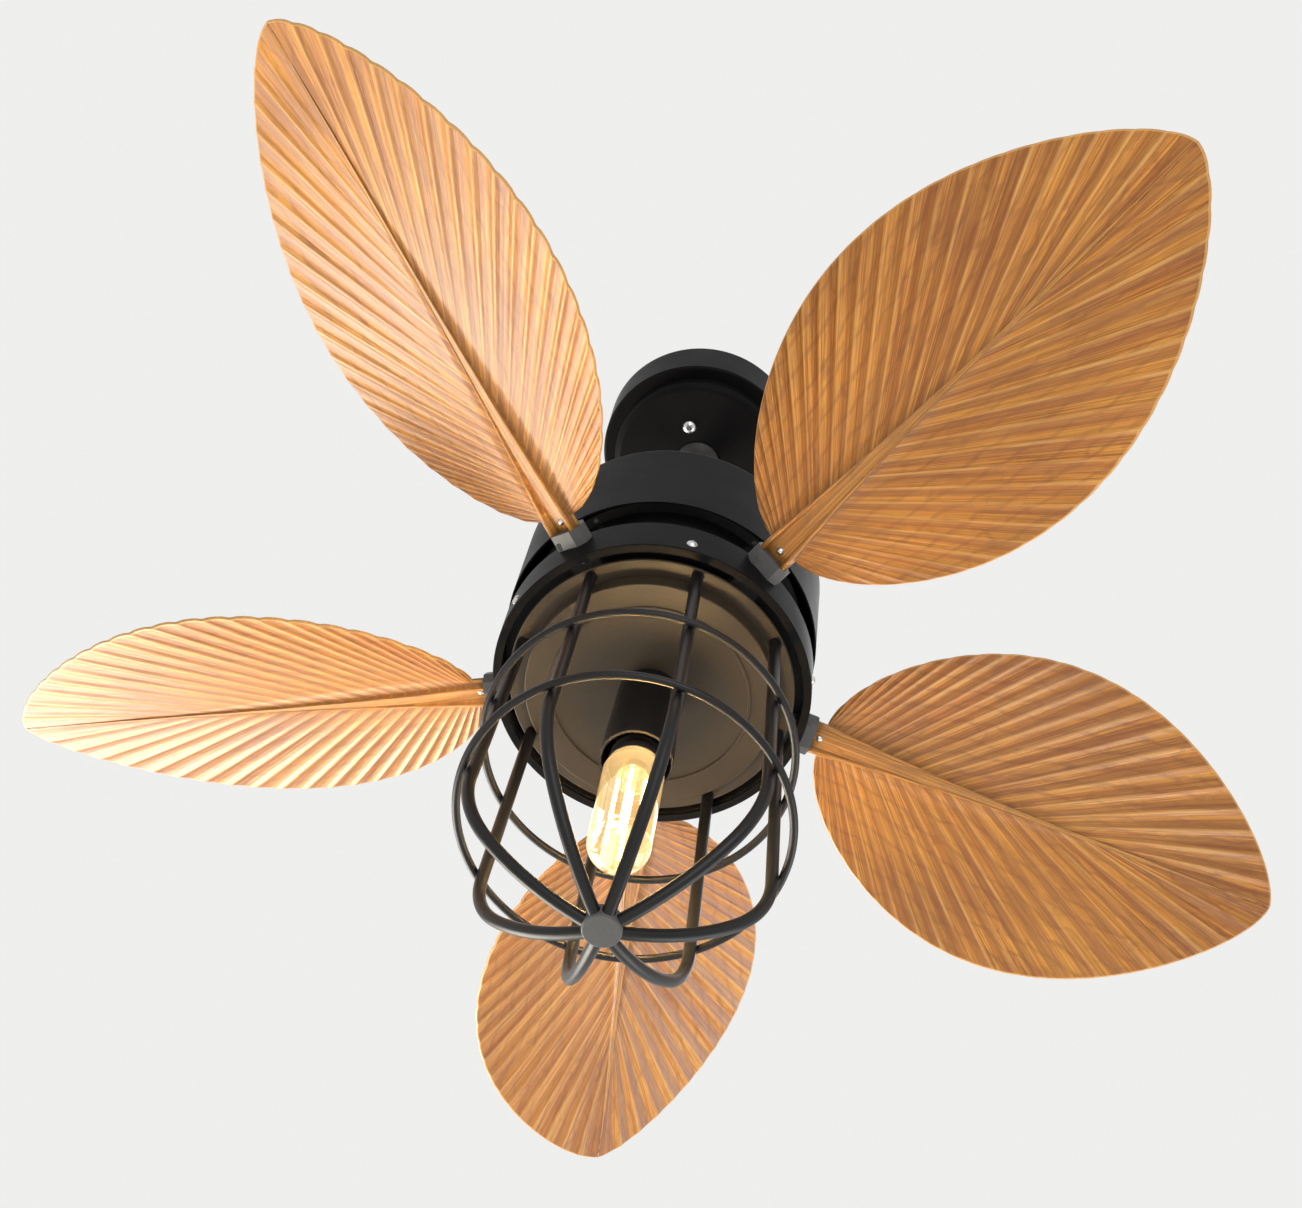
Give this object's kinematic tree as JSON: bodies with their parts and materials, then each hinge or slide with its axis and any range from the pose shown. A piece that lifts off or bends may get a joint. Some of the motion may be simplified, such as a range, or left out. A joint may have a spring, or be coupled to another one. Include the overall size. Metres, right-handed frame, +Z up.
{
  "type": "ceiling fan",
  "caption": "Hanging ceiling fan with pleated palm-leaf blades on a turning band, a stepped canopy and a lamp in a round-bar cage under the motor.",
  "frame": {"origin": "on the ceiling plane, on the fan's axis, at the top face of the mounting bracket", "axes": "+Z up into the ceiling; the bracket's two slots lie along Y; the fan hangs along -Z"},
  "size_m": [1.0646, 1.0358, 0.8039],
  "materials": {
    "black_metal": "satin black paint",
    "grey_metal": "dark grey paint",
    "zinc_steel": "zinc plated",
    "silver_screw": "bright plated",
    "ball_plastic": "matte black",
    "core_steel": "bare laminations",
    "copper": "lacquered copper wire",
    "cast_alloy": "dark cast",
    "leaf_wood": "honey wood look, satin",
    "ceramic": "glazed white",
    "brass": "plain",
    "collar_plastic": "matte black",
    "bulb_glass": "clear, faint amber",
    "filament": "yellow phosphor"
  },
  "bodies": {
    "ceiling_mount": {"ceiling_bracket": "zinc_steel", "canopy": "black_metal", "canopy_screws": "silver_screw"},
    "hanging_frame": {"drum_housing": "black_metal", "light_pan": "black_metal", "lamp_cup": "black_metal", "cage_ring_upper": "black_metal", "cage_ring_lower": "black_metal", "coupling": "black_metal", "cage_bar_1": "black_metal", "cage_bar_2": "black_metal", "cage_bar_3": "black_metal", "cage_bar_4": "black_metal", "cage_bar_5": "black_metal", "cage_bar_6": "black_metal", "cage_bar_7": "black_metal", "cage_bar_8": "black_metal", "cage_hub": "grey_metal", "downrod": "zinc_steel", "ball_pin": "zinc_steel", "coupling_pin": "zinc_steel", "coupling_set_screws": "zinc_steel", "motor_shaft": "zinc_steel", "bearing_inner_rings": "zinc_steel", "shaft_nuts": "zinc_steel", "cage_nuts": "zinc_steel", "drum_screws": "silver_screw", "hanger_ball": "ball_plastic", "stator_core": "core_steel", "stator_windings": "copper", "lamp_core": "ceramic", "socket_shell": "brass", "lamp_contact": "brass", "bulb_cap": "brass", "bulb_collar": "collar_plastic", "bulb_glass": "bulb_glass", "bulb_stem": "bulb_glass", "bulb_filaments": "filament"},
    "rotor": {"rotor_cover_upper": "cast_alloy", "rotor_cover_lower": "cast_alloy", "rotor_ring": "core_steel", "rotor_screws": "silver_screw", "flywheel_screws": "silver_screw", "bearing_outer_rings": "zinc_steel", "bearing_balls": "zinc_steel", "blade_flywheel": "cast_alloy", "blade_band": "black_metal", "band_screws": "silver_screw", "holder_screws": "silver_screw", "blade_screws": "silver_screw", "blade_holder_1": "grey_metal", "blade_holder_2": "grey_metal", "blade_holder_3": "grey_metal", "blade_holder_4": "grey_metal", "blade_holder_5": "grey_metal", "blade_1": "leaf_wood", "blade_2": "leaf_wood", "blade_3": "leaf_wood", "blade_4": "leaf_wood", "blade_5": "leaf_wood"}
  },
  "joints": [
    {"name": "hanger_tilt", "type": "hinge", "parent": "ceiling_mount", "child": "hanging_frame", "pos_m": [0, 0, -0.044], "axis": [0, 1, 0], "range_deg": [-15, 15]},
    {"name": "fan_spin", "type": "hinge", "parent": "hanging_frame", "child": "rotor", "pos_m": [0, 0, -0.392], "axis": [0, 0, 1], "continuous": true}
  ]
}
